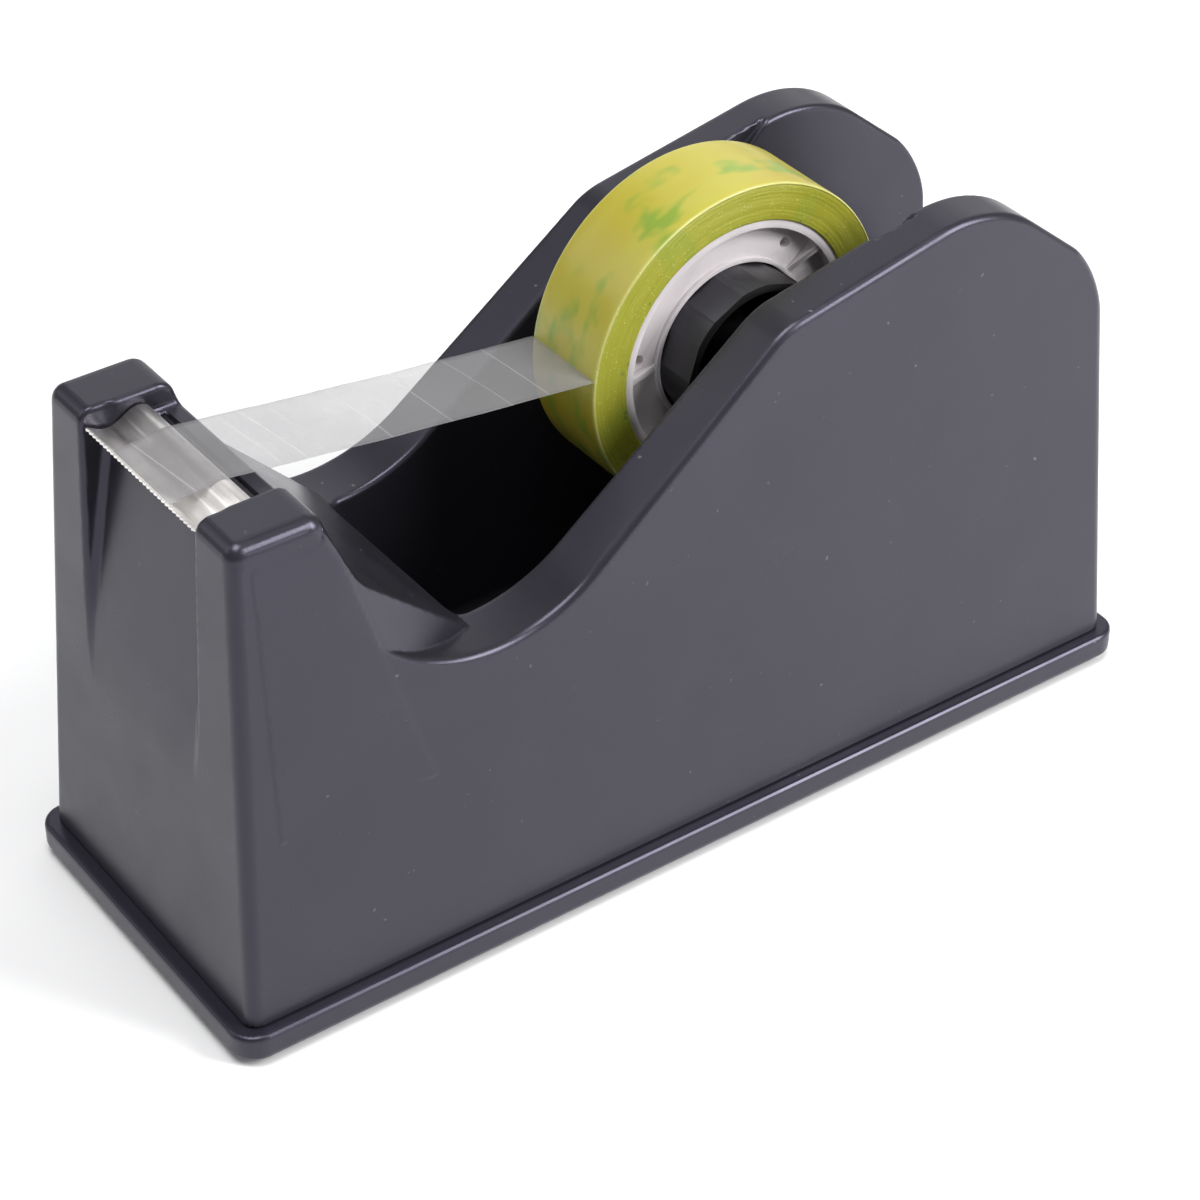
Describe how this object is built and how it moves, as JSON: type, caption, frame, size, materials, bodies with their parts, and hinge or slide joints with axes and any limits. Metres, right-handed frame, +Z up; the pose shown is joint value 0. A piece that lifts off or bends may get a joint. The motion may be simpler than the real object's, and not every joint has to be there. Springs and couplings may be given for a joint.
{
  "type": "tape dispenser",
  "caption": "Weighted desktop tape dispenser: black two-wall housing on a base plate, wavy steel cutter blade, and an 18 mm tape roll on an octagonal drum with a lift-out axle.",
  "frame": {"origin": "middle of the footprint on the table, at the underside of the rubber feet", "axes": "+Z up, -Y towards the cutter at the front, +X to the right seen from the front; the reel's axis is along X"},
  "size_m": [0.0724, 0.195, 0.114],
  "materials": {
    "housing_plastic": "satin moulded ABS, fine texture",
    "base_plastic": "satin moulded plastic",
    "insert_plastic": "satin",
    "drum_plastic": "satin moulded plastic",
    "core_plastic": "satin white moulded plastic",
    "tape_wound": "translucent yellow-green wound film",
    "tape_film": "clear glossy film",
    "blade_steel": "bright rolled steel",
    "axle_steel": "turned steel",
    "screw_steel": "zinc plated",
    "washer_nylon": "natural nylon",
    "clip_steel": "blackened spring steel",
    "ballast_steel": "bare steel block",
    "pad_foam": "closed-cell foam",
    "foot_rubber": "matte rubber"
  },
  "bodies": {
    "root": {"housing": "housing_plastic", "base_plate": "base_plastic", "base_screws": "screw_steel", "ballast_front": "ballast_steel", "ballast_rear": "ballast_steel", "ballast_pad": "pad_foam", "foot_front_left": "foot_rubber", "foot_front_right": "foot_rubber", "foot_rear_left": "foot_rubber", "foot_rear_right": "foot_rubber", "cutter_carrier": "insert_plastic", "cutter_blade": "blade_steel", "carrier_screws": "screw_steel"},
    "axle_set": {"axle": "axle_steel", "axle_washers": "washer_nylon", "axle_clips": "clip_steel", "tape_tail": "tape_film"},
    "reel": {"drum": "drum_plastic", "tape_core": "core_plastic", "tape_roll": "tape_wound"}
  },
  "joints": [
    {"name": "reel_lift", "type": "slide", "parent": "root", "child": "axle_set", "axis": [0, 0.7431, 0.6691], "range_m": [0, 0.03]},
    {"name": "reel_spin", "type": "hinge", "parent": "axle_set", "child": "reel", "pos_m": [0, 0.0232, 0.0833], "axis": [1, 0, 0], "continuous": true}
  ]
}
